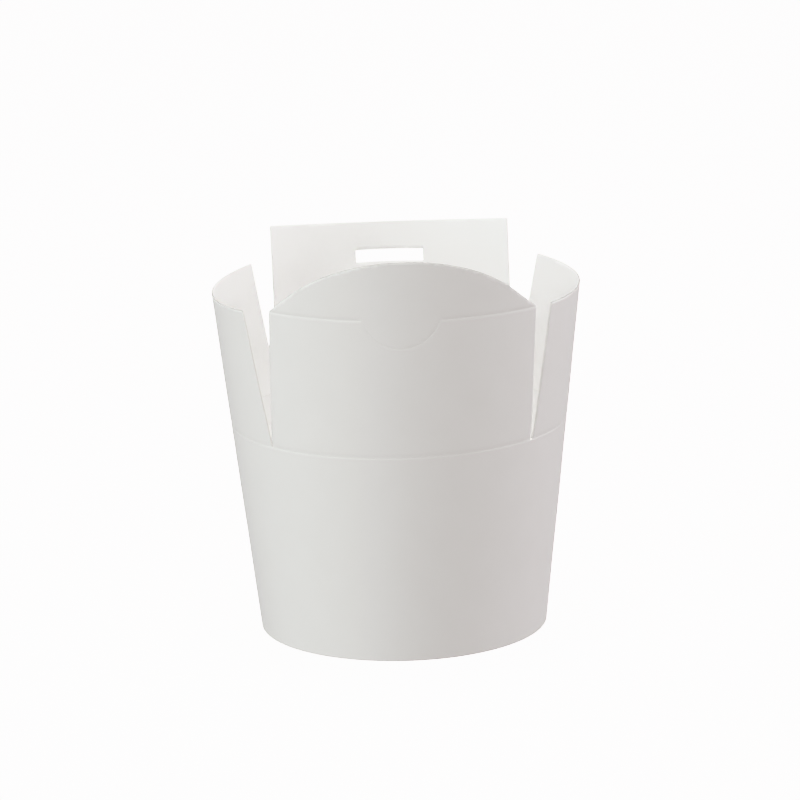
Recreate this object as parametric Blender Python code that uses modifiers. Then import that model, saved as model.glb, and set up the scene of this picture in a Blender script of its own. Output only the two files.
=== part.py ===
"""Round-based paper noodle box, open and empty, modelled at its real size.

Metres, +Z up. The origin is the centre of the ring that the box stands on.
The front, with the arched flap, faces -Y. The whole box follows one cone: a
point of the board is given by its arc length along the cone, its distance up
the slope above the main crease, and the bearing of the flap it belongs to.
"""
import math

import bmesh
import bpy
from mathutils import Matrix, Vector

# The cone and its board
BASE_RADIUS = 0.0450
CONE_SLOPE = 0.1135           # radius gained per metre of height
CREASE_HEIGHT = 0.0664        # main crease, where the four flaps begin
BOARD = 0.00045               # thickness of the paperboard
CLEARANCE = 0.0003            # between separate pieces
SIDES = 96                    # facets around the cone

# The foot: the wall turns in and up around the skirt of the base disc
FOLD_HEIGHT = 0.0064
FOOT_BEND = 0.00012           # chamfer on the turned edge
BASE_TOP = 0.0074
GLUE_LAP = 0.0080             # width of the glued side seam

# The slits between the flaps, as bearings from the front
FRONT_SLIT = math.radians(48.95)
BACK_SLIT = math.radians(134.2)
SLIT_WIDTH = 0.0010           # at the bottom of a slit, where two creases meet

# Lengths of the flaps up the slope, from the main crease, along their middles
SIDE_LENGTH = 0.0421
SIDE_HALF_TOP = 0.0363        # half width of a side flap at its top edge
FRONT_CREASE = 0.0436         # upper crease, under the arched end
ARCH_TOP = 0.0624
ARCH_RADIUS = 0.0605
ARCH_STRAIGHT = 0.0380        # from here to its ends the arch runs straight
ARCH_SHOULDER = 0.0004
ARCH_LEAN = math.radians(1.5)  # the arched end leans out a little more
BACK_LENGTH = 0.0504
BACK_BOW = 0.0009             # how much higher its corners are than a straight cut
CORNER_RADIUS = 0.0006

# The tongue in the front flap and the slot that takes it
TONGUE_HALF_WIDTH = 0.0116
TONGUE_DEPTH = 0.0086
KERF = 0.0003
SLOT_WIDTH = 0.0219
SLOT_HEIGHT = 0.0039
SLOT_MIDDLE = 0.0395
SLOT_CORNER = 0.0006

HALF_ANGLE = math.atan(CONE_SLOPE)
BOARD_ACROSS = BOARD / math.cos(HALF_ANGLE)   # the board measured level
CREASE_RADIUS = BASE_RADIUS + CONE_SLOPE * CREASE_HEIGHT
WHITE_OUTSIDE = (0.790, 0.800, 0.795, 1.0)
WHITE_BASE = (0.770, 0.775, 0.765, 1.0)


def radius_at(height):
    return BASE_RADIUS + CONE_SLOPE * height


def on_cone(arc, slant, bearing, bend_at=None, lean=0.0):
    """A point of the outer face; above bend_at the board leans out by lean more."""
    below = slant if bend_at is None else min(slant, bend_at)
    above = slant - below
    radius = (CREASE_RADIUS + below * math.sin(HALF_ANGLE)
              + above * math.sin(HALF_ANGLE + lean))
    height = (CREASE_HEIGHT + below * math.cos(HALF_ANGLE)
              + above * math.cos(HALF_ANGLE + lean))
    turn = bearing + arc / radius
    return Vector((radius * math.sin(turn), -radius * math.cos(turn), height))


def crease_frame(start, end):
    """The hinge frame of a flap between two slits: X along its axis, on the inner face."""
    inner = CREASE_RADIUS - BOARD_ACROSS
    first, second = (Vector((inner * math.sin(a), -inner * math.cos(a), CREASE_HEIGHT))
                     for a in (start, end))
    along = (first - second).normalized()
    up = Vector((0.0, 0.0, 1.0))
    frame = Matrix((along, up.cross(along), up)).transposed().to_4x4()
    frame.translation = (first + second) / 2
    return frame


def board_material(name, colour, roughness):
    material = bpy.data.materials.new(name)
    material.use_nodes = True
    shader = material.node_tree.nodes["Principled BSDF"]
    shader.inputs["Base Color"].default_value = colour
    shader.inputs["Roughness"].default_value = roughness
    shader.inputs["Metallic"].default_value = 0.0
    return material


def add_object(name, mesh, collection, material=None):
    piece = bpy.data.objects.new(name, mesh)
    collection.objects.link(piece)
    if material is not None:
        mesh.materials.append(material)
    return piece


def make_cutter(piece, parent):
    piece.hide_render = True
    piece.display_type = "WIRE"
    piece.parent = parent
    piece.matrix_parent_inverse = parent.matrix_world.inverted()


def smooth(mesh):
    mesh.shade_smooth()
    mesh.set_sharp_from_angle(angle=math.radians(35))


def profile_mesh(name, points, closed):
    mesh = bpy.data.meshes.new(name)
    count = len(points)
    edges = [(i, (i + 1) % count) for i in range(count if closed else count - 1)]
    mesh.from_pydata([(x, 0.0, z) for x, z in points], edges, [])
    return mesh


def turn_profile(piece):
    screw = piece.modifiers.new("turn", "SCREW")
    screw.axis = "Z"
    screw.angle = 2 * math.pi
    screw.steps = SIDES
    screw.render_steps = SIDES
    screw.use_merge_vertices = True
    screw.merge_threshold = 0.00001
    screw.use_smooth_shade = True


def cut(piece, cutter, operation="DIFFERENCE"):
    boolean = piece.modifiers.new(cutter.name, "BOOLEAN")
    boolean.operation = operation
    boolean.solver = "EXACT"
    boolean.object = cutter


def bent_sheet(name, columns, rows, place, corner=0.0):
    """A grid whose corners run from -1 to 1, moved point by point onto the cone."""
    mesh = bpy.data.meshes.new(name)
    grid = bmesh.new()
    bmesh.ops.create_grid(grid, x_segments=columns, y_segments=rows, size=1.0)
    corners = [v for v in grid.verts
               if abs(v.co.x) > 0.9999 and v.co.y > 0.9999]
    for vert in grid.verts:
        vert.co = place(vert.co.x, (vert.co.y + 1) / 2)
    if corner:
        bmesh.ops.bevel(grid, geom=corners, offset=corner, segments=3,
                        profile=0.5, affect="VERTICES")
    grid.to_mesh(mesh)
    grid.free()
    return mesh


def solid_board(piece):
    solidify = piece.modifiers.new("board", "SOLIDIFY")
    solidify.thickness = BOARD
    solidify.offset = -1.0
    solidify.use_even_offset = True


def make_flap(name, start, end, columns, rows, half_top, length, edge_at,
              collection, material, bend_row=None, lean=0.0):
    """A flap between the slits at bearings start and end, hinged on its crease.

    edge_at gives the slant of the free edge at an arc length from the middle.
    """
    bearing = (start + end) / 2
    half_crease = CREASE_RADIUS * (end - start) / 2 - SLIT_WIDTH / 2
    foot = CLEARANCE / 2
    frame = crease_frame(start, end)
    to_frame = frame.inverted()
    bend_at = FRONT_CREASE if bend_row else None

    def half_width(slant):
        return half_crease + (half_top - half_crease) * slant / length

    def place(across, upward):
        top = edge_at(across * half_top)
        if bend_row and upward > bend_row:
            slant = FRONT_CREASE + ((top - FRONT_CREASE)
                                    * (upward - bend_row) / (1 - bend_row))
        elif bend_row:
            slant = foot + (FRONT_CREASE - foot) * upward / bend_row
        else:
            slant = foot + (top - foot) * upward
        arc = across * half_width(slant)
        return to_frame @ on_cone(arc, slant, bearing, bend_at, lean)

    mesh = bent_sheet(name, columns, rows, place, CORNER_RADIUS)
    piece = add_object(name, mesh, collection, material)
    piece.matrix_world = frame
    solid_board(piece)
    smooth(mesh)
    return piece


def make_wall(collection, helpers, material):
    """The wall below the crease: down the outside, around the foot and up the fold."""
    top = CREASE_HEIGHT - CLEARANCE / 2
    pocket = BOARD_ACROSS + 2 * CLEARANCE     # room for the skirt of the base disc
    fold_outer = BOARD_ACROSS + pocket
    fold_inner = fold_outer + BOARD_ACROSS
    bend = FOOT_BEND
    points = [
        (radius_at(top), top),
        (radius_at(bend), bend),
        (BASE_RADIUS - bend, 0.0),
        (BASE_RADIUS - fold_inner + bend, 0.0),
        (radius_at(bend) - fold_inner, bend),
        (radius_at(FOLD_HEIGHT) - fold_inner, FOLD_HEIGHT),
        (radius_at(FOLD_HEIGHT) - fold_outer, FOLD_HEIGHT),
        (radius_at(BOARD) - fold_outer, BOARD),
        (radius_at(BOARD) - BOARD_ACROSS, BOARD),
        (radius_at(top) - BOARD_ACROSS, top),
    ]
    wall = add_object("wall", profile_mesh("wall", points, True), collection, material)
    turn_profile(wall)

    # The glued seam: one end of the board laps under the other, below a back slit
    lap_low = BASE_TOP + 2 * CLEARANCE
    lap_angle = GLUE_LAP / CREASE_RADIUS
    bite = BOARD * 0.4            # how far the lap reaches into the wall it is glued to

    def place(across, upward):
        height = lap_low + (top - 2 * CLEARANCE - lap_low) * upward
        turn = -BACK_SLIT - lap_angle * (1 + across) / 2
        radius = radius_at(height) - BOARD_ACROSS + bite
        return Vector((radius * math.sin(turn), -radius * math.cos(turn), height))

    lap = add_object("glue_lap", bent_sheet("glue_lap", 6, 8, place), helpers)
    lap.data.flip_normals()
    lap_board = lap.modifiers.new("board", "SOLIDIFY")
    lap_board.thickness = BOARD + bite
    lap_board.offset = -1.0
    lap_board.use_even_offset = True
    make_cutter(lap, wall)
    cut(wall, lap, "UNION")
    return wall


def make_base_disc(collection, material):
    """The raised floor with its skirt, held in the fold of the foot."""
    skirt_outer = BOARD_ACROSS + CLEARANCE
    skirt_inner = skirt_outer + BOARD_ACROSS
    low = BOARD + CLEARANCE
    under = BASE_TOP - BOARD
    bend = 0.0003
    points = [
        (0.0, BASE_TOP),
        (BASE_RADIUS * 0.5, BASE_TOP),
        (radius_at(BASE_TOP) - skirt_outer - bend, BASE_TOP),
        (radius_at(BASE_TOP - bend) - skirt_outer, BASE_TOP - bend),
        (radius_at(low) - skirt_outer, low),
        (radius_at(low) - skirt_inner, low),
        (radius_at(under) - skirt_inner, under),
        (BASE_RADIUS * 0.5, under),
        (0.0, under),
    ]
    disc = add_object("base_disc", profile_mesh("base_disc", points, False),
                      collection, material)
    turn_profile(disc)
    return disc


def make_tongue_cutter(helpers, flap):
    """A thin half-moon cut that frees the tongue below the upper crease."""
    radius = (TONGUE_HALF_WIDTH ** 2 + TONGUE_DEPTH ** 2) / (2 * TONGUE_DEPTH)
    reach = math.asin(TONGUE_HALF_WIDTH / radius)
    steps = 18
    angles = [-reach + 2 * reach * i / steps for i in range(steps + 1)]
    outer = [((radius + KERF / 2) * math.sin(a), -(radius + KERF / 2) * math.cos(a))
             for a in angles]
    inner = [((radius - KERF / 2) * math.sin(a), -(radius - KERF / 2) * math.cos(a))
             for a in reversed(angles)]
    outline = outer + inner
    curve = bpy.data.curves.new("tongue_outline", "CURVE")
    curve.dimensions = "2D"
    curve.fill_mode = "BOTH"
    curve.extrude = 0.003
    spline = curve.splines.new("POLY")
    spline.points.add(len(outline) - 1)
    for point, (x, y) in zip(spline.points, outline):
        point.co = (x, y, 0.0, 1.0)
    spline.use_cyclic_u = True
    drawn = bpy.data.objects.new("tongue_outline", curve)
    helpers.objects.link(drawn)

    centre = on_cone(0.0, FRONT_CREASE - TONGUE_DEPTH + radius, 0.0)
    tilt = Matrix.Rotation(math.pi / 2 + HALF_ANGLE, 4, "X")
    drawn.matrix_world = Matrix.Translation(centre) @ tilt
    bpy.context.view_layer.update()
    graph = bpy.context.evaluated_depsgraph_get()
    mesh = bpy.data.meshes.new_from_object(drawn.evaluated_get(graph))
    welded = bmesh.new()
    welded.from_mesh(mesh)
    bmesh.ops.remove_doubles(welded, verts=welded.verts, dist=0.000001)
    bmesh.ops.recalc_face_normals(welded, faces=welded.faces)
    welded.to_mesh(mesh)
    welded.free()
    cutter = add_object("tongue_cut", mesh, helpers)
    cutter.matrix_world = drawn.matrix_world
    bpy.data.objects.remove(drawn, do_unlink=True)
    make_cutter(cutter, flap)
    return cutter


def make_slot_cutter(helpers, flap):
    """The level slot near the top of the back flap, with slightly rounded corners."""
    mesh = bpy.data.meshes.new("slot_cut")
    block = bmesh.new()
    bmesh.ops.create_cube(block, size=1.0)
    bmesh.ops.scale(block, vec=(SLOT_WIDTH, 0.006, SLOT_HEIGHT), verts=block.verts)
    through = [e for e in block.edges
               if abs(e.verts[0].co.y - e.verts[1].co.y) > 0.001]
    bmesh.ops.bevel(block, geom=through, offset=SLOT_CORNER, segments=3,
                    profile=0.5, affect="EDGES")
    block.to_mesh(mesh)
    block.free()
    cutter = add_object("slot_cut", mesh, helpers)
    middle = on_cone(0.0, SLOT_MIDDLE, math.pi)
    cutter.matrix_world = (Matrix.Translation(middle)
                           @ Matrix.Rotation(-HALF_ANGLE, 4, "X"))
    bpy.context.view_layer.update()
    make_cutter(cutter, flap)
    return cutter


def main():
    for leftover in list(bpy.data.objects):
        bpy.data.objects.remove(leftover, do_unlink=True)
    box = bpy.data.collections.new("noodle_box")
    helpers = bpy.data.collections.new("cutters")
    for collection in (box, helpers):
        bpy.context.scene.collection.children.link(collection)

    make_wall(box, helpers, board_material("wall_board", WHITE_OUTSIDE, 0.50))
    make_base_disc(box, board_material("base_board", WHITE_BASE, 0.45))

    front_half = CREASE_RADIUS * FRONT_SLIT - SLIT_WIDTH / 2
    back_half = CREASE_RADIUS * (math.pi - BACK_SLIT) - SLIT_WIDTH / 2 - 0.0005

    def arch_edge(arc):
        bow = min(abs(arc), ARCH_STRAIGHT)
        top = ARCH_TOP - ARCH_RADIUS + math.sqrt(ARCH_RADIUS ** 2 - bow ** 2)
        shoulder = FRONT_CREASE + ARCH_SHOULDER
        return top + (shoulder - top) * (abs(arc) - bow) / (front_half - ARCH_STRAIGHT)

    def straight_edge(length, arc):
        # A straight cut across the flat board, as it lies once bent round the cone
        reach = CREASE_RADIUS / math.sin(HALF_ANGLE)
        return math.hypot(reach + length, arc) - reach

    def back_edge(arc):
        return straight_edge(BACK_LENGTH, arc) + BACK_BOW * (arc / back_half) ** 2

    front = make_flap("front_flap", -FRONT_SLIT, FRONT_SLIT, 48, 10, front_half,
                      ARCH_TOP, arch_edge, box,
                      board_material("front_board", WHITE_OUTSIDE, 0.50),
                      bend_row=0.6, lean=ARCH_LEAN)
    back = make_flap("back_flap", BACK_SLIT, 2 * math.pi - BACK_SLIT, 44, 6,
                     back_half, BACK_LENGTH, back_edge, box,
                     board_material("back_board", WHITE_OUTSIDE, 0.50))
    for name, start, end in (("right_flap", FRONT_SLIT, BACK_SLIT),
                             ("left_flap", -BACK_SLIT, -FRONT_SLIT)):
        make_flap(name, start, end, 40, 6, SIDE_HALF_TOP, SIDE_LENGTH,
                  lambda arc: straight_edge(SIDE_LENGTH, arc), box,
                  board_material(name.replace("flap", "board"), WHITE_OUTSIDE, 0.50))
    bpy.context.view_layer.update()
    cut(front, make_tongue_cutter(helpers, front))
    cut(back, make_slot_cutter(helpers, back))


main()
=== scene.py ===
"""Looks of the open paper noodle box: fine sheets of coated board, soft studio light."""
import math

import bpy
import numpy as np
from mathutils import Matrix, Vector
from mathutils.geometry import delaunay_2d_cdt


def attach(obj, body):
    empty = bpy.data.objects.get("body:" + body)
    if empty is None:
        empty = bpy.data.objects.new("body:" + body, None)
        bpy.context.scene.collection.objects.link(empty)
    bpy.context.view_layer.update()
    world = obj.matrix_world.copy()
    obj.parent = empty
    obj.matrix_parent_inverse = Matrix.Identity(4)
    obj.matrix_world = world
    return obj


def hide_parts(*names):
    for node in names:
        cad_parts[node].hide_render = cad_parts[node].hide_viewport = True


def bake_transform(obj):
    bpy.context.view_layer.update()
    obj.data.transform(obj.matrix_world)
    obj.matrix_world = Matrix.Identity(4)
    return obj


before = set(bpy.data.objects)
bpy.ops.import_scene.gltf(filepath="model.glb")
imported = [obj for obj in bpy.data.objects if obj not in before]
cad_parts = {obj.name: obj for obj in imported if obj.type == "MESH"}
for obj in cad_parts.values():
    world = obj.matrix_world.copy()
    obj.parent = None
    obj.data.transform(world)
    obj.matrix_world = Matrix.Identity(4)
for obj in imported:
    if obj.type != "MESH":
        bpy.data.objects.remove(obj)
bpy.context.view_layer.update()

# The cone and the board, in metres, as in the solids
BASE_RADIUS = 0.0450
CONE_SLOPE = 0.1135
CREASE_HEIGHT = 0.0664
BOARD = 0.00045
HALF_ANGLE = math.atan(CONE_SLOPE)
CREASE_RADIUS = BASE_RADIUS + CONE_SLOPE * CREASE_HEIGHT
FRONT_SLIT = math.radians(48.95)
BACK_SLIT = math.radians(134.2)
SLIT_WIDTH = 0.00022
SLIT_EASE = 0.00022                      # the right slit is wider by this, less near its top
SLIT_FOOT = 0.00038                      # each of its edges stands back so much more at its foot
SLIT_BOW = 0.0045                        # bow of its right-hand edge, most a quarter of the way up
SLIT_STEPS = 24                          # points along its two edges
LAP_ANGLE = 0.0080 / CREASE_RADIUS       # glued seam, below the left back slit
LAP_START = -BACK_SLIT - LAP_ANGLE
LAP_EASE = 0.10                          # radians over which the lap settles again
LAP_FADE = 0.012                         # height above the crease over which it ends

# Flaps
SIDE_HALF_TOP = 0.0363
FRONT_CREASE = 0.0436
ARCH_TOP = 0.0624
ARCH_RADIUS = 0.0605
ARCH_STRAIGHT = 0.0380                   # from here to its ends the arch runs straight
ARCH_SHOULDER = 0.0004
ARCH_LEAN = math.radians(1.5)
ARCH_POINTS = 41
BACK_LENGTH = 0.0507
BACK_BOW = 0.00093
BACK_TAPER = 0.0005                      # its top is narrower by this on either side
BACK_ROWS = 0.053                        # rows of points go up to here
TONGUE_HALF_WIDTH = 0.0116
TONGUE_DEPTH = 0.0086
TONGUE_OFFSET = -0.00125                 # it lies a little left of the middle
TONGUE_RADIUS = (TONGUE_HALF_WIDTH ** 2 + TONGUE_DEPTH ** 2) / (2 * TONGUE_DEPTH)
TONGUE_CENTRE = FRONT_CREASE - TONGUE_DEPTH + TONGUE_RADIUS
KERF = 0.000008                          # width of the tongue's cut
TONGUE_DENT = 0.00001                    # the tongue's edge lies this much deeper
TONGUE_SOFT = 0.00018                    # width of the rounding beside its right half
TONGUE_SLOPE = 0.32                      # and its depth, as a share of the width
TONGUE_LEAN = ARCH_LEAN * 0.2            # the tongue leans less than the arched end
TONGUE_FADE = 0.0008                     # the upper crease fades out over this beside it
TONGUE_ROOT = 0.0012                     # its dent begins over this below the upper crease
DENT_REACH = 0.0015                      # and dies away over this from the cut
KERF_POINTS = 60
SLOT_WIDTH, SLOT_HEIGHT, SLOT_MIDDLE, SLOT_CORNER = 0.0219, 0.0039, 0.03945, 0.0003
SLOT_OFFSET = -0.00017
FLAP_CORNER, ARCH_CORNER = 0.0006, 0.0005    # rounding of the flaps' corners
OUTLINE_STEP, SLOT_STEP = 0.0009, 0.0007     # spacing of points along the cut edges
FREE_HEIGHT = 0.020                      # a flap's edges are free to spring above this height
WANDER_LENGTH = 0.020                    # size of the board's slow unevenness

# Foot
FOLD_HEIGHT = 0.0064
BASE_TOP = 0.0074

# Creases: a pressed line, half width and depth
CREASE_HALF = 0.00038
CREASE_DEPTH = 0.00016
CREASE_SHIFT = 0.00030                   # the groove runs this far above the line of the fold
CREASE_INNER = 0.4                       # share of the depth that shows on the inner side
UPPER_CREASE = 0.95                      # depth of the upper crease against the main one
EDGE_ROUND = 0.00006                     # rounding of the die-cut edges
GRID = 0.0012                            # spacing of points on a sheet
ROW_PITCH = 0.866                        # spacing of its rows against that of the points
CREASE_ROWS = (0.00012, 0.00025, 0.0004, 0.0006, 0.0009, 0.0013)    # closer rows by a crease
CREASE_CLEAR = 0.0016                    # where the plain rows keep away from it
LOWEST_ROW = 0.00008
CREASE_LINE = 0.00002                    # below this a point is on the crease, not a cut edge

OUTER, INNER, RAW, UPPER_SHADE = range(4)      # material slots of a board's surfaces; the last one carries painted shade on upward cut edges


def radius_at(height):
    return BASE_RADIUS + CONE_SLOPE * height


def new_piece(name, points, faces, sheet, materials, face_slots, sharp):
    mesh = bpy.data.meshes.new(name)
    mesh.from_pydata([tuple(p) for p in points], [], [tuple(f) for f in faces])
    for material in materials:
        mesh.materials.append(material)
    if face_slots is not None:
        mesh.polygons.foreach_set("material_index", np.asarray(face_slots, np.int32))
    attribute = mesh.attributes.new("sheet", "FLOAT_VECTOR", "POINT")
    attribute.data.foreach_set("vector", np.asarray(sheet, np.float32).ravel())
    mesh.shade_smooth()
    mesh.set_sharp_from_angle(angle=math.radians(sharp))
    mesh.update()
    piece = bpy.data.objects.new(name, mesh)
    bpy.context.scene.collection.objects.link(piece)
    return piece


def along(points, step):
    """Points spaced at most step apart along a closed polyline."""
    out = []
    count = len(points)
    for i in range(count):
        a, b = np.array(points[i]), np.array(points[(i + 1) % count])
        parts = max(1, int(math.ceil(np.linalg.norm(b - a) / step)))
        out += [tuple(a + (b - a) * k / parts) for k in range(parts)]
    return out


def inside(points, loop):
    """Even-odd test of many points against one loop."""
    x, y = points[:, 0], points[:, 1]
    result = np.zeros(len(points), bool)
    a = np.array(loop)
    b = np.roll(a, -1, axis=0)
    for (ax, ay), (bx, by) in zip(a, b):
        crosses = (ay > y) != (by > y)
        if by != ay:
            result ^= crosses & (x < (bx - ax) * (y - ay) / (by - ay) + ax)
    return result


def distance_to(points, loop):
    """Distance of many points from one loop."""
    a = np.array(loop)
    d = np.roll(a, -1, axis=0) - a
    length = np.maximum((d ** 2).sum(1), 1e-18)
    best = np.full(len(points), 1e9)
    for start, step, square in zip(a, d, length):
        t = np.clip(((points - start) @ step) / square, 0, 1)
        gap = np.hypot(*(points - start - t[:, None] * step).T)
        best = np.minimum(best, gap)
    return best


def triangulated(outline, holes, rows, step):
    """A flat sheet cut to outline with holes, its inner points in the given rows."""
    clear = step * 0.30                      # inner points keep this far from the edges
    smallest = 1e-16                         # doubled area below which a triangle is dropped
    flat, edges = [], []
    for loop in [outline] + holes:
        first = len(flat)
        flat += loop
        edges += [(first + i, first + (i + 1) % len(loop)) for i in range(len(loop))]
    reach = max(abs(p[0]) for p in outline) + step
    grid = []
    for k, v in enumerate(rows):
        offset = step / 2 if k % 2 else 0.0
        grid += [(s + offset, v) for s in np.arange(-reach, reach, step)]
    grid = np.array(grid)
    keep = inside(grid, outline) & (distance_to(grid, outline) > clear)
    for hole in holes:
        keep &= ~inside(grid, hole) & (distance_to(grid, hole) > clear)
    flat += [tuple(p) for p in grid[keep]]
    result = delaunay_2d_cdt([Vector(p) for p in flat], edges, [], 0, 1e-9, True)
    points = np.array([tuple(p) for p in result[0]])
    faces = np.array([f for f in result[2] if len(f) == 3])
    middle = points[faces].mean(1)
    keep = inside(middle, outline)
    for hole in holes:
        keep &= ~inside(middle, hole)
    faces = faces[keep]
    a, b, c = (points[faces[:, i]] for i in range(3))
    turn = (b[:, 0] - a[:, 0]) * (c[:, 1] - a[:, 1]) - (b[:, 1] - a[:, 1]) * (c[:, 0] - a[:, 0])
    faces = faces[np.abs(turn) > smallest]
    turn = turn[np.abs(turn) > smallest]
    faces[turn < 0] = faces[turn < 0][:, ::-1]
    used = np.unique(faces)
    index = np.full(len(points), -1)
    index[used] = np.arange(len(used))
    return points[used], index[faces]


def boundary_edges(faces):
    """Directed edges that only one triangle uses."""
    edges = {}
    for a, b, c in faces:
        for e in ((a, b), (b, c), (c, a)):
            edges[e] = True
    return [e for e in edges if (e[1], e[0]) not in edges]


def lap_out(turn, fade, inner):
    """How far the seam's upper layer stands out, as a share of the board."""
    past = LAP_START - turn                  # from the end of the lower layer, away from the slit
    on_lap = (turn <= -BACK_SLIT) & (turn > LAP_START)
    ease = np.clip(1 - past / LAP_EASE, 0, 1)
    settle = np.where((turn <= LAP_START) & (turn > LAP_START - LAP_EASE),
                      ease * ease * (3 - 2 * ease), 0.0)
    share = settle + (0.0 if inner else 1.0) * on_lap
    return share * fade


def wander(a, b, seed):
    """A slow, smooth unevenness between about -1 and 1."""
    return (np.sin(a * 3.1 + seed) * np.cos(b * 2.3 + seed * 1.7)
            + 0.5 * np.sin(a * 7.3 + b * 3.7 + seed * 2.9)) / 1.5


def bent(s, v, depth, flap):
    """3D points of a flap's sheet: s along the cone, v up the slope, depth into the board."""
    s0, v0 = s, v
    s = s + flap["skew"] * v
    v = v - flap["tilt"] * s0 * v0 / FRONT_CREASE
    bend_at, lean = flap.get("bend", (1.0, 0.0))
    tongue = np.zeros(len(s), bool)
    if lean:
        tongue = ((v0 < FRONT_CREASE)
                  & (np.hypot(s0 - TONGUE_OFFSET, v0 - TONGUE_CENTRE) < TONGUE_RADIUS))
    below = np.where(tongue, bend_at, np.minimum(v, bend_at))
    above = v - below
    tilt = HALF_ANGLE + np.where(above > 0, lean, 0.0) + np.where(tongue, TONGUE_LEAN, 0.0)
    radius = CREASE_RADIUS + below * math.sin(HALF_ANGLE) + above * np.sin(tilt)
    height = CREASE_HEIGHT + below * math.cos(HALF_ANGLE) + above * np.cos(tilt)
    turn = flap["bearing"] + s / radius
    through = 1 + (CREASE_INNER - 1) * depth / BOARD
    press = CREASE_DEPTH * through * np.exp(-((v0 - CREASE_SHIFT) / CREASE_HALF) ** 2)
    if lean:
        line = (CREASE_DEPTH * UPPER_CREASE * through
                * np.exp(-((v0 - FRONT_CREASE - CREASE_SHIFT) / CREASE_HALF) ** 2))
        beside = (np.abs(s0 - TONGUE_OFFSET) - TONGUE_HALF_WIDTH) / TONGUE_FADE
        press = press + line * np.clip(beside, 0, 1)
        rim = np.hypot(s0 - TONGUE_OFFSET, v0 - TONGUE_CENTRE) - TONGUE_RADIUS
        across = (s0 - TONGUE_OFFSET) / TONGUE_HALF_WIDTH
        dent = TONGUE_DENT * (0.6 + 0.4 * across) * np.exp(np.minimum(rim, 0) / DENT_REACH)
        rooted = np.clip((FRONT_CREASE - v0) / TONGUE_ROOT, 0, 1)
        press = press + np.where(tongue, dent * rooted, 0.0)
    free = np.clip(v0 / FREE_HEIGHT, 0, 1)
    relax = flap["relax"] * free * (s0 / flap["half"]) ** 4
    warp = flap["warp"] * free * wander(s0 / WANDER_LENGTH, v0 / WANDER_LENGTH, flap["seed"])
    wrapped = (turn + math.pi) % (2 * math.pi) - math.pi
    seam = BOARD * lap_out(wrapped, np.clip(1 - v0 / LAP_FADE, 0, 1), False)
    inset = depth + press - relax - warp - seam
    radius = radius - inset * np.cos(tilt)
    height = height + inset * np.sin(tilt)
    return np.stack([radius * np.sin(turn), -radius * np.cos(turn), height], 1)


def flap_piece(name, node_name, outline, holes, rows, flap):
    """A flap: both faces of its sheet and the rounded cut edge round each rim."""
    flat, faces = triangulated(outline, holes, rows, GRID)
    s, v = flat[:, 0], flat[:, 1]
    count = len(flat)
    rims = boundary_edges(faces)
    round_by, round_depth = np.full(count, EDGE_ROUND), np.full(count, EDGE_ROUND)
    if "bend" in flap:
        rim = np.hypot(s - TONGUE_OFFSET, v - TONGUE_CENTRE) - TONGUE_RADIUS
        by_cut = (np.abs(rim) < TONGUE_SOFT + KERF) & (v < FRONT_CREASE + KERF)
        round_by = np.where(by_cut, np.maximum(rim - KERF / 2, 0) + KERF * 0.35, EDGE_ROUND)
        round_depth = np.where(by_cut, TONGUE_SLOPE * round_by, EDGE_ROUND)
    push = np.zeros((count, 2))
    for a, b in rims:
        d = flat[b] - flat[a]
        n = np.array([d[1], -d[0]]) / max(np.linalg.norm(d), 1e-12)
        push[a] += n
        push[b] += n
    size = np.maximum(np.hypot(*push.T), 1e-9)
    push = push / size[:, None] * round_by[:, None]
    push[v < CREASE_LINE] = 0.0
    edge_ids = sorted({i for e in rims for i in e})
    row = {v_id: k for k, v_id in enumerate(edge_ids)}
    ids = np.array(edge_ids)
    out = flat[ids] + push[ids]
    points = np.concatenate([
        bent(s, v, np.zeros(count), flap),
        bent(s, v, np.full(count, BOARD), flap),
        bent(out[:, 0], out[:, 1], round_depth[ids], flap),
        bent(out[:, 0], out[:, 1], np.full(len(ids), BOARD - EDGE_ROUND), flap)])
    layer = np.concatenate([np.zeros(count), np.ones(count),
                            np.zeros(len(ids)), np.ones(len(ids))]) * BOARD
    where = np.concatenate([flat, flat, out, out])
    sheet = np.stack([where[:, 0] + flap["bearing"] * CREASE_RADIUS, where[:, 1], layer], 1)
    all_faces = [tuple(f) for f in faces] + [tuple(f[::-1] + count) for f in faces]
    slots = [OUTER] * len(faces) + [INNER] * len(faces)
    first = 2 * count
    second = first + len(ids)
    for a, b in rims:
        ra, rb = row[a], row[b]
        all_faces += [(b, a, first + ra, first + rb),
                      (first + rb, first + ra, second + ra, second + rb),
                      (second + rb, second + ra, count + a, count + b)]
        # cut edges that face upwards get the darker material of painted shade
        upward = round_by[a] == EDGE_ROUND and push[a][1] + push[b][1] > 1.2 * EDGE_ROUND
        slots += [UPPER_SHADE, UPPER_SHADE, UPPER_SHADE] if upward else [OUTER, RAW, INNER]
    piece = new_piece(name, points, all_faces, sheet, BOARDS, slots, 50.0)
    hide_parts(node_name)
    return piece


def flap_rows(top, creases):
    """Heights of a flap's rows of points, closer together beside each crease."""
    rows = list(np.arange(GRID, top, GRID * ROW_PITCH))
    rows = [r for r in rows if all(abs(r - c) > CREASE_CLEAR for c in creases)]
    for c in creases:
        for d in CREASE_ROWS:
            rows += [c + d, c - d]
        rows.append(c)
    return sorted(r for r in rows if r > LOWEST_ROW)


def rounded(points, radius, which, parts=5):
    """Replaces the chosen corners of an outline by small arcs."""
    out = []
    count = len(points)
    for i, p in enumerate(points):
        if i not in which:
            out.append(p)
            continue
        p = np.array(p)
        a = np.array(points[i - 1]) - p
        b = np.array(points[(i + 1) % count]) - p
        a, b = a / np.linalg.norm(a), b / np.linalg.norm(b)
        for k in range(parts + 1):
            t = k / parts
            out.append(tuple(p + radius * (a * (1 - t) ** 2 + b * t ** 2)))
    return out


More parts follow.
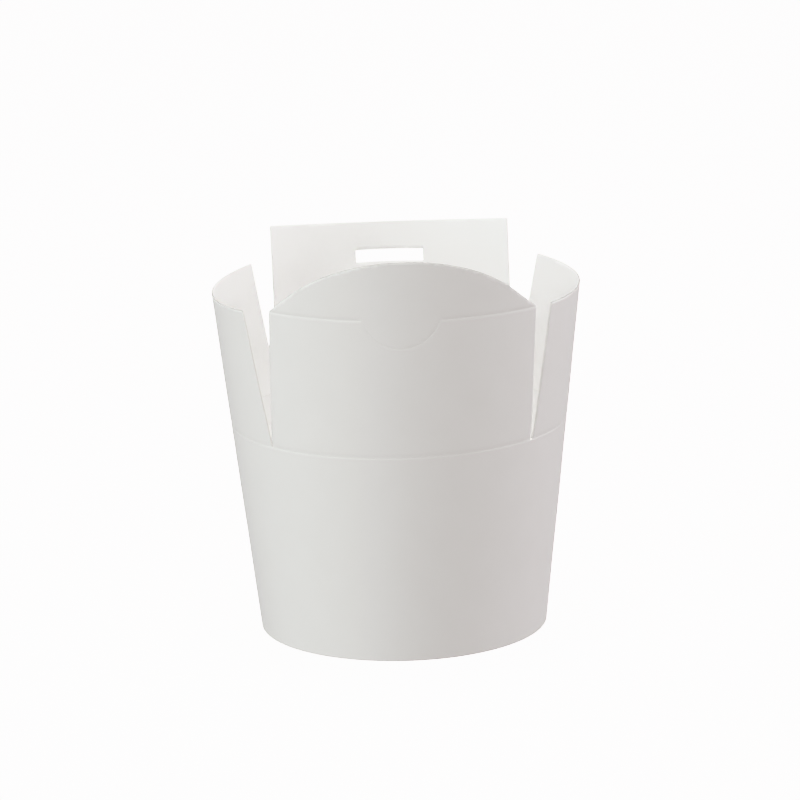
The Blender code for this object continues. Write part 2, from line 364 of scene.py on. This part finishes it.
def side_profile(half_low, half_top, top, steps=8, gap=None):
    """Right edge of a flap from the crease to its top; gap(t) sets it back, t from 0 to 1."""
    line = []
    for t in np.linspace(0.0, 1.0, steps + 1):
        inset = gap(t) if gap else 0.0
        line.append((half_low + (half_top - half_low) * t - inset, top * t))
    return line


CLOUD_SCALE, FIBRE_SCALE, TOOTH_SCALE = 90.0, 2600.0, 5200.0     # patterns, per metre
GLOSS_SCALE, WAVE_SCALE = 420.0, 130.0
NOISE_LOW, NOISE_HIGH = 0.3, 0.7                                 # the part of a noise that is used
WAVE_BUMP, GRAIN_BUMP, TOOTH_BUMP = (0.25, 0.00006), (0.22, 0.000012), (0.15, 0.000006)


def node(tree, kind, **inputs):
    made = tree.nodes.new(kind)
    for key, value in inputs.items():
        made.inputs[key.replace("_", " ")].default_value = value
    return made


def board_material(name, colour, tint, rough, rough_span, bump, fibre=1.0, spec=0.5):
    """Coated board: cloudy tone, fibres below the coating, a faint waviness of the gloss."""
    material = bpy.data.materials.new(name)
    material.use_nodes = True
    tree = material.node_tree
    link = tree.links.new
    shader = tree.nodes["Principled BSDF"]
    place = tree.nodes.new("ShaderNodeAttribute")
    place.attribute_name = "sheet"

    def scaled(x, y, z):
        mapping = tree.nodes.new("ShaderNodeMapping")
        mapping.inputs["Scale"].default_value = (x, y, z)
        link(place.outputs["Vector"], mapping.inputs["Vector"])
        return mapping.outputs["Vector"]

    def noise(vector, scale, detail, roughness=0.5):
        made = node(tree, "ShaderNodeTexNoise", Scale=scale, Detail=detail,
                    Roughness=roughness)
        link(vector, made.inputs["Vector"])
        return made.outputs["Fac"]

    def ranged(value, low, high):
        made = node(tree, "ShaderNodeMapRange")
        made.inputs["From Min"].default_value = NOISE_LOW
        made.inputs["From Max"].default_value = NOISE_HIGH
        made.inputs["To Min"].default_value = low
        made.inputs["To Max"].default_value = high
        link(value, made.inputs["Value"])
        return made.outputs["Result"]

    cloud = noise(scaled(1, 1, 1), CLOUD_SCALE, 3.0)
    fibres = noise(scaled(1, 0.28, 1), FIBRE_SCALE * fibre, 4.0, 0.62)
    tooth = noise(scaled(1, 1, 1), TOOTH_SCALE, 2.0)
    mix = tree.nodes.new("ShaderNodeMix")
    mix.data_type = "RGBA"
    mix.inputs["A"].default_value = (*colour, 1.0)
    mix.inputs["B"].default_value = (*tint, 1.0)
    share = tree.nodes.new("ShaderNodeMath")
    share.operation = "ADD"
    link(ranged(cloud, 0.0, 0.55), share.inputs[0])
    link(ranged(fibres, 0.0, 0.45), share.inputs[1])
    link(share.outputs[0], mix.inputs["Factor"])
    link(mix.outputs["Result"], shader.inputs["Base Color"])
    gloss = noise(scaled(1, 1, 1), GLOSS_SCALE, 3.0)
    link(ranged(gloss, rough - rough_span, rough + rough_span), shader.inputs["Roughness"])
    shader.inputs["Specular IOR Level"].default_value = spec
    relief = [node(tree, "ShaderNodeBump", Strength=strength * bump, Distance=height)
              for strength, height in (WAVE_BUMP, GRAIN_BUMP, TOOTH_BUMP)]
    waves, grain, fine = relief
    link(noise(scaled(1, 0.6, 1), WAVE_SCALE, 2.0), waves.inputs["Height"])
    link(fibres, grain.inputs["Height"])
    link(waves.outputs["Normal"], grain.inputs["Normal"])
    link(tooth, fine.inputs["Height"])
    link(grain.outputs["Normal"], fine.inputs["Normal"])
    link(fine.outputs["Normal"], shader.inputs["Normal"])
    return material


OUTSIDE = board_material("board_outside", (0.809, 0.806, 0.786), (0.794, 0.790, 0.768),
                         0.46, 0.035, 1.0)
INSIDE = board_material("board_inside", (0.868, 0.869, 0.857), (0.855, 0.856, 0.841),
                        0.42, 0.04, 0.8)
CUT = board_material("board_cut_edge", (0.760, 0.748, 0.722), (0.690, 0.676, 0.646),
                     0.85, 0.05, 3.0, fibre=2.0, spec=0.2)
# Cut edges that face upwards, with painted shade: darker than cut board is, or the overhead lamp
# makes them glare
TOP_EDGE_SHADE = board_material("board_top_edge_painted_shade", (0.425, 0.420, 0.408), (0.385, 0.379, 0.366),
                          0.90, 0.04, 3.0, fibre=2.0, spec=0.1)
FLOOR_BOARD = board_material("board_floor", (0.850, 0.852, 0.840), (0.837, 0.838, 0.824),
                             0.42, 0.04, 0.8)
BOARDS = [OUTSIDE, INSIDE, CUT, TOP_EDGE_SHADE]              # in the order of the slots above


WALL_TURNS = 288                         # points round the wall
WALL_ROWS = (0.0, 0.0001, 0.0002, 0.0003, 0.00042, 0.0006, 0.0009, 0.0014)  # below the crease
PLAIN_TOP = CREASE_HEIGHT - 0.003        # and evenly spaced ones from here down
FOLD_BEND = 0.00034                      # outer radius of the edge turned at the foot
FOLD_POCKET = 0.0006                     # room in the fold beside the skirt of the floor
FOLD_SOFT = 0.0001                       # rounding of the corners inside the fold
WALL_UNEVEN = 0.00005                    # depth of the wall's slow unevenness


def crease_press(z, depth):
    """How deep the main crease's groove is at a height on the wall."""
    return depth * math.exp(-((z - CREASE_HEIGHT - CREASE_SHIFT) / CREASE_HALF) ** 2)


def wall_stations():
    """The wall's closed profile: inset from the cone, height, inner side or not, slot."""
    across = BOARD / math.cos(HALF_ANGLE)
    quarter = [math.radians(90 * k / 5) for k in range(1, 6)]
    stations = []

    outer = [CREASE_HEIGHT - d for d in WALL_ROWS]
    outer += list(np.linspace(PLAIN_TOP, 0.0022, 34))
    outer += [0.0014, 0.0009, 0.00055]
    for z in outer:
        stations.append((crease_press(z, CREASE_DEPTH), z, False, OUTER))
    for a in quarter:
        stations.append((FOLD_BEND - FOLD_BEND * math.cos(a),
                         FOLD_BEND - FOLD_BEND * math.sin(a), False, OUTER))
    pocket = across + FOLD_POCKET
    fold_outer, fold_inner = across + pocket, 2 * across + pocket
    for a in quarter:
        stations.append((fold_inner - FOLD_BEND + FOLD_BEND * math.sin(a),
                         FOLD_BEND - FOLD_BEND * math.cos(a), True, OUTER))
    for z in np.linspace(0.0008, FOLD_HEIGHT - FOLD_SOFT, 8):
        stations.append((fold_inner, z, True, OUTER))
    stations += [(fold_inner - EDGE_ROUND, FOLD_HEIGHT, True, RAW),
                 (fold_outer + EDGE_ROUND, FOLD_HEIGHT, True, RAW),
                 (fold_outer, FOLD_HEIGHT - FOLD_SOFT, True, INNER)]
    stations += [(fold_outer, z, True, INNER) for z in (0.0045, 0.0025, 0.0008)]
    stations += [(fold_outer - FOLD_SOFT, BOARD, True, INNER),
                 (across + FOLD_SOFT, BOARD, True, INNER)]
    inner = [0.0008, 0.003, 0.006] + list(np.linspace(0.0078, PLAIN_TOP, 32))
    inner += [CREASE_HEIGHT - d for d in WALL_ROWS[::-1]]
    for z in inner:
        press = crease_press(z, CREASE_DEPTH * CREASE_INNER)
        stations.append((across + press, z, True, INNER))
    return stations


def wall_piece():
    """The wall below the crease as one closed profile turned round, with its glued seam."""
    stations = wall_stations()
    turns = list(np.linspace(-math.pi, math.pi, WALL_TURNS + 1)[:-1])
    sharp, clear = 0.0006, 0.004       # radians over which a layer ends, and kept free round it
    for edge in (LAP_START, -BACK_SLIT):
        turns = [t for t in turns if abs(t - edge) > clear]
        turns += [edge - sharp, edge + sharp, edge - 3 * sharp, edge + 3 * sharp]
    turns = np.array(sorted(turns))
    inset = np.array([p[0] for p in stations])
    height = np.array([p[1] for p in stations])
    inner_side = np.array([p[2] for p in stations], bool)
    settled = np.clip((height - 0.002) / 0.006, 0, 1)      # the seam lies flat at the foot
    points, sheet = [], []
    for turn in turns:
        t = np.full(len(stations), turn)
        out = np.where(inner_side, lap_out(t, settled, True), lap_out(t, 1.0, False)) * BOARD
        uneven = (WALL_UNEVEN * wander(np.full(len(t), math.sin(turn) * 2.2),
                                       height / WANDER_LENGTH + math.cos(turn) * 2.0, 0.7)
                  * np.clip(height / WANDER_LENGTH, 0, 1)
                  * np.clip((CREASE_HEIGHT - height) / 0.01, 0, 1))
        radius = radius_at(height) - inset + out + uneven
        points.append(np.stack([radius * math.sin(turn), -radius * math.cos(turn), height], 1))
        sheet.append(np.stack([np.full(len(t), turn * CREASE_RADIUS),
                               (height - CREASE_HEIGHT) / math.cos(HALF_ANGLE),
                               inner_side * BOARD], 1))
    points, sheet = np.concatenate(points), np.concatenate(sheet)
    ring, count = len(stations), len(turns)
    faces, slots = [], []
    for i in range(count):
        j = (i + 1) % count
        for k in range(ring):
            m = (k + 1) % ring
            faces.append((i * ring + k, i * ring + m, j * ring + m, j * ring + k))
            slots.append(RAW if k == ring - 1 else stations[k][3])
    wall = new_piece("wall_board", points, faces, sheet, BOARDS, slots, 40.0)
    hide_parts("wall")
    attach(wall, "root")


FLOOR_TURNS = 192                        # points round the floor
FLOOR_GAP = 0.0003                       # between the floor's skirt and the wall
FLOOR_DISH = 0.00025                     # how far its middle sags
FLOOR_LIP = 0.0005                       # rounding of its edge
FLOOR_HUB = 0.0015                       # radius of its innermost ring of points
RING_DEPTH, RING_INSET, RING_HALF = 0.00012, 0.0042, 0.0007      # the ring pressed into it


def base_piece():
    """The raised floor: a pressed disc with its skirt, slightly dished."""
    across = BOARD / math.cos(HALF_ANGLE)
    edge = radius_at(BASE_TOP) - across - FLOOR_GAP
    low = BOARD + FLOOR_GAP
    skirt_out = radius_at(low) - across - FLOOR_GAP
    skirt_in = skirt_out - across

    def sag(r):
        ring = RING_DEPTH * math.exp(-((r - edge + RING_INSET) / RING_HALF) ** 2)
        return -FLOOR_DISH * (1 - min(1.0, r / (edge - 0.003)) ** 2) - ring

    def skirt(radius, share):
        return (radius + (edge - skirt_out) * share, low + (BASE_TOP - FLOOR_LIP - low) * share)

    upper = list(np.linspace(FLOOR_HUB, edge - 0.0065, 22))
    upper += list(np.linspace(edge - 0.006, edge - 0.0025, 12))
    upper += [edge - 0.0018, edge - 0.0012, edge - 0.0008]
    under = [edge - 0.0008 - across, edge - 0.0018, edge - 0.0025]
    under += list(np.linspace(edge - 0.006, FLOOR_HUB, 20))
    profile = [(r, BASE_TOP + sag(r)) for r in upper]
    profile += [(edge - FLOOR_LIP + FLOOR_LIP * math.sin(a),
                 BASE_TOP - FLOOR_LIP + FLOOR_LIP * math.cos(a))
                for a in (math.radians(d) for d in (0, 22, 45, 67, 90))]
    profile += [skirt(skirt_out, share) for share in (0.66, 0.33, 0.0)]
    profile += [skirt(skirt_in, share) for share in (0.0, 0.33, 0.66, 0.95)]
    profile += [(r, BASE_TOP - BOARD + sag(r)) for r in under]
    count = FLOOR_TURNS
    points, sheet = [], []
    for i in range(count):
        a = 2 * math.pi * i / count
        for r, z in profile:
            points.append((r * math.sin(a), -r * math.cos(a), z))
            sheet.append((r * math.sin(a), -r * math.cos(a), z))
    ring = len(profile)
    faces = []
    for i in range(count):
        j = (i + 1) % count
        for k in range(ring - 1):
            faces.append((i * ring + k, i * ring + k + 1, j * ring + k + 1, j * ring + k))
    top, bottom = len(points), len(points) + 1
    points += [(0, 0, BASE_TOP - FLOOR_DISH), (0, 0, BASE_TOP - BOARD - FLOOR_DISH)]
    sheet += [(0, 0, BASE_TOP), (0, 0, BASE_TOP - BOARD)]
    for i in range(count):
        j = (i + 1) % count
        faces.append((top, i * ring, j * ring))
        faces.append((bottom, j * ring + ring - 1, i * ring + ring - 1))
    base = new_piece("base_board", points, faces, sheet, [FLOOR_BOARD], None, 45.0)
    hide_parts("base_disc")
    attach(base, "root")


def blended(piece):
    """Bakes the piece's placement into its points."""
    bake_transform(piece)


def slit_ease(t):
    return SLIT_EASE * (1 - t) ** 0.5 + SLIT_FOOT * (1 - t) ** 6


def slit_bow(t):
    return SLIT_BOW * t * (1 - t) ** 3 + SLIT_FOOT * (1 - t) ** 6


def mirrored(right):
    """The left edge of a flap, from its top down, for a right edge from the crease up."""
    return [(-s, v) for s, v in reversed(right)]


def front_piece():
    """The front flap with its arched end, and the half-moon tongue cut below the upper crease."""
    half = CREASE_RADIUS * FRONT_SLIT - SLIT_WIDTH / 2
    flap = {"bearing": 0.0, "skew": 0.033, "tilt": 0.0150, "half": half, "seed": 0.4,
            "bend": (FRONT_CREASE, ARCH_LEAN), "relax": 0.00012, "warp": 0.00006}
    shoulder = FRONT_CREASE + ARCH_SHOULDER
    edge = side_profile(half, half, shoulder)
    right = side_profile(half, half, shoulder, SLIT_STEPS, slit_ease)
    arch = []
    for s in np.linspace(ARCH_STRAIGHT, -ARCH_STRAIGHT, ARCH_POINTS):
        arch.append((s, ARCH_TOP - ARCH_RADIUS + math.sqrt(ARCH_RADIUS ** 2 - s ** 2)))
    corners = right + arch + mirrored(edge)
    ends = (len(right) - 1, len(right) + len(arch))
    outline = along(rounded(corners, ARCH_CORNER, ends), OUTLINE_STEP)
    reach = math.asin(TONGUE_HALF_WIDTH / TONGUE_RADIUS)
    angles = np.linspace(-reach, reach, KERF_POINTS)
    kerf = [(TONGUE_OFFSET + r * math.sin(a), TONGUE_CENTRE - r * math.cos(a))
            for r, order in ((TONGUE_RADIUS + KERF / 2, 1), (TONGUE_RADIUS - KERF / 2, -1))
            for a in angles[::order]]
    for i, a in enumerate(angles):             # its outer rim is pressed round on the right
        share = min(max(0.45 + 0.55 * a / reach, 0.0), 1.0)
        soft = TONGUE_SOFT * share * min(1.0, (reach - a) / 0.1)
        r = TONGUE_RADIUS + KERF / 2 + soft
        kerf[i] = (TONGUE_OFFSET + r * math.sin(a), TONGUE_CENTRE - r * math.cos(a))
    piece = flap_piece("front_flap_board", "front_flap", outline, [kerf],
                       flap_rows(ARCH_TOP, [0.0, FRONT_CREASE]), flap)
    blended(piece)


def back_piece():
    """The back flap, cut nearly level, with the slot that takes the front flap's end."""
    half = CREASE_RADIUS * (math.pi - BACK_SLIT) - SLIT_WIDTH / 2
    top = half - BACK_TAPER
    reach = CREASE_RADIUS / math.sin(HALF_ANGLE)
    flap = {"bearing": math.pi, "skew": 0.019, "tilt": 0.0, "half": half, "seed": 2.1,
            "relax": 0.00010, "warp": 0.00007}

    def cut(s):
        return math.hypot(reach + BACK_LENGTH, s) - reach + BACK_BOW * ((s / top) ** 2 - 0.3)

    edge = side_profile(half, top, cut(top))
    line = [(top - 2 * top * k / 20, cut(top - 2 * top * k / 20)) for k in range(1, 20)]
    corners = edge + line + mirrored(edge)
    ends = (len(edge) - 1, len(edge) + len(line))
    outline = along(rounded(corners, FLAP_CORNER, ends), OUTLINE_STEP)
    left, right = SLOT_OFFSET - SLOT_WIDTH / 2, SLOT_OFFSET + SLOT_WIDTH / 2
    low, high = SLOT_MIDDLE - SLOT_HEIGHT / 2, SLOT_MIDDLE + SLOT_HEIGHT / 2
    slot = rounded([(right, low), (right, high), (left, high), (left, low)],
                   SLOT_CORNER, (0, 1, 2, 3))
    piece = flap_piece("back_flap_board", "back_flap", outline, [along(slot, SLOT_STEP)],
                       flap_rows(BACK_ROWS, [0.0]), flap)
    blended(piece)


def side_piece(name, node_name, side, length, bow, tip, skew, seed, gap=None):
    """A side flap: length in the middle, bow higher at both corners, tip more at one."""
    half = CREASE_RADIUS * (BACK_SLIT - FRONT_SLIT) / 2 - SLIT_WIDTH / 2
    flap = {"bearing": side * (FRONT_SLIT + BACK_SLIT) / 2, "skew": skew, "tilt": 0.0,
            "half": half, "seed": seed, "relax": 0.00010, "warp": 0.00006}
    right = side_profile(half, SIDE_HALF_TOP, length + bow + tip)
    left = side_profile(half, SIDE_HALF_TOP, length + bow - tip, SLIT_STEPS, gap)
    line = [(SIDE_HALF_TOP * t, length + bow * t * t + tip * t)
            for t in np.linspace(1, -1, 31)[1:-1]]
    corners = right + line + mirrored(left)
    ends = (len(right) - 1, len(right) + len(line))
    outline = along(rounded(corners, FLAP_CORNER, ends), OUTLINE_STEP)
    piece = flap_piece(name, node_name, outline, [],
                       flap_rows(length + bow + abs(tip), [0.0]), flap)
    blended(piece)


wall_piece()
base_piece()
front_piece()
back_piece()
side_piece("right_flap_board", "right_flap", 1, 0.0427, 0.00035, 0.00035, -0.030, 3.3,
           slit_bow)
side_piece("left_flap_board", "left_flap", -1, 0.0417, 0.0010, 0.0, -0.007, 5.2)


LIGHT_ABOVE, LIGHT_BELOW = 0.44, 0.46    # brightness of the surroundings
LIGHT_BLEND = 0.10                       # how far above and below the horizon they blend
LIGHT_TINT = (1.09, 1.0, 1.004)
FLOOR_GLOW = 3.0                         # makes the floor look white; it lights nothing
FLOOR_SIDES = 72
FLOOR_SWEEP = [(0.0, 0.0), (1.0, 0.0), (2.2, 0.0), (3.4, 0.0), (4.2, 0.06), (4.9, 0.26),
               (5.5, 0.62), (6.0, 1.15), (6.3, 1.8), (6.45, 2.5), (6.5, 3.3)]  # radius, height
SOFTBOX_AIM = Vector((0, 0, 0.06))
SOFTBOX_DISTANCE = 1.3
SOFTBOXES = [                            # name, bearing, rise, width, height, watts, colour
    ("soft_left", -80, 6, 0.8, 0.6, 4.85, (0.89, 1.0, 1.01)),
    ("soft_front_left", -30, 6, 0.8, 0.6, 4.85, (0.91, 1.0, 0.98)),
    ("soft_front", 0, 55, 1.0, 0.8, 3.0, (1.0, 1.0, 1.0)),
    ("soft_right", 102, 6, 0.8, 0.6, 7.55, (0.98, 1.0, 1.03)),
    ("soft_top", 180, 86, 0.5, 0.5, 18.0, (1.0, 1.0, 1.0)),
]


def studio_floor(scene):
    """A white floor that rises to a backdrop all round."""
    count = FLOOR_SIDES
    points = [(0.0, 0.0, 0.0)]
    for r, z in FLOOR_SWEEP[1:]:
        for k in range(count):
            a = 2 * math.pi * k / count
            points.append((r * math.cos(a), r * math.sin(a), z))
    faces = [(0, 1 + k, 1 + (k + 1) % count) for k in range(count)]
    for i in range(len(FLOOR_SWEEP) - 2):
        a, b = 1 + i * count, 1 + (i + 1) * count
        faces += [(a + k, b + k, b + (k + 1) % count, a + (k + 1) % count)
                  for k in range(count)]
    mesh = bpy.data.meshes.new("studio_floor")
    mesh.from_pydata(points, [], faces)
    mesh.shade_smooth()
    floor = bpy.data.objects.new("studio_floor", mesh)
    scene.collection.objects.link(floor)
    material = bpy.data.materials.new("studio_floor")
    material.use_nodes = True
    shader = material.node_tree.nodes["Principled BSDF"]
    shader.inputs["Base Color"].default_value = (0.92, 0.92, 0.92, 1.0)
    shader.inputs["Roughness"].default_value = 0.95
    shader.inputs["Specular IOR Level"].default_value = 0.0
    shader.inputs["Emission Color"].default_value = (1.0, 1.0, 1.0, 1.0)
    shader.inputs["Emission Strength"].default_value = FLOOR_GLOW
    mesh.materials.append(material)
    floor.visible_diffuse = False
    floor.visible_glossy = False
    floor.visible_shadow = False


def surroundings(scene):
    """A soft pale light from all round, a little brighter from below."""
    world = bpy.data.worlds.new("studio")
    scene.world = world
    world.use_nodes = True
    tree = world.node_tree
    sky = tree.nodes["Background"]
    place = tree.nodes.new("ShaderNodeTexCoord")
    split = tree.nodes.new("ShaderNodeSeparateXYZ")
    tree.links.new(place.outputs["Generated"], split.inputs["Vector"])
    blend = tree.nodes.new("ShaderNodeMapRange")
    blend.interpolation_type = "SMOOTHSTEP"
    blend.inputs["From Min"].default_value = -LIGHT_BLEND
    blend.inputs["From Max"].default_value = LIGHT_BLEND
    blend.inputs["To Min"].default_value = LIGHT_BELOW
    blend.inputs["To Max"].default_value = LIGHT_ABOVE
    tree.links.new(split.outputs["Z"], blend.inputs["Value"])
    tree.links.new(blend.outputs["Result"], sky.inputs["Strength"])
    sky.inputs["Color"].default_value = (*LIGHT_TINT, 1.0)


def softboxes(scene):
    """Five large soft lamps, all aimed at the middle of the box."""
    for name, turn, rise, width, height, power, colour in SOFTBOXES:
        light = bpy.data.lights.new(name, "AREA")
        light.shape = "RECTANGLE"
        light.size, light.size_y = width, height
        light.energy = power
        light.color = colour
        lamp = bpy.data.objects.new(name, light)
        scene.collection.objects.link(lamp)
        a, e = math.radians(turn), math.radians(rise)
        away = Vector((math.sin(a) * math.cos(e), -math.cos(a) * math.cos(e), math.sin(e)))
        spot = SOFTBOX_AIM + SOFTBOX_DISTANCE * away
        look = (SOFTBOX_AIM - spot).to_track_quat("-Z", "Y").to_matrix().to_4x4()
        lamp.matrix_world = Matrix.Translation(spot) @ look


def studio():
    scene = bpy.context.scene
    scene.view_settings.view_transform = "Khronos PBR Neutral"    # pale board keeps its shading
    studio_floor(scene)
    surroundings(scene)
    softboxes(scene)


def camera():
    """The photograph's camera: far off, a little above, turned slightly about its own axis."""
    turn, rise, roll = math.radians(1.2), math.radians(14.063), math.radians(1.516)
    distance, focal = 1.428154, 4572.0         # metres, and pixels in a frame 800 wide
    aim = Vector((0.000431, 0.0, 0.071449))
    eye = aim + Vector((0.0, -math.cos(rise), math.sin(rise))) * distance
    data = bpy.data.cameras.new("photo_camera")
    data.sensor_width = 36.0
    data.lens = focal / 800 * data.sensor_width
    data.clip_start, data.clip_end = 0.05, 50.0
    item = bpy.data.objects.new("photo_camera", data)
    bpy.context.scene.collection.objects.link(item)
    look = (aim - eye).to_track_quat("-Z", "Y").to_matrix().to_4x4()
    item.matrix_world = (Matrix.Rotation(-turn, 4, "Z") @ Matrix.Translation(eye)
                         @ look @ Matrix.Rotation(-roll, 4, "Z"))
    bpy.context.scene.camera = item


studio()
camera()
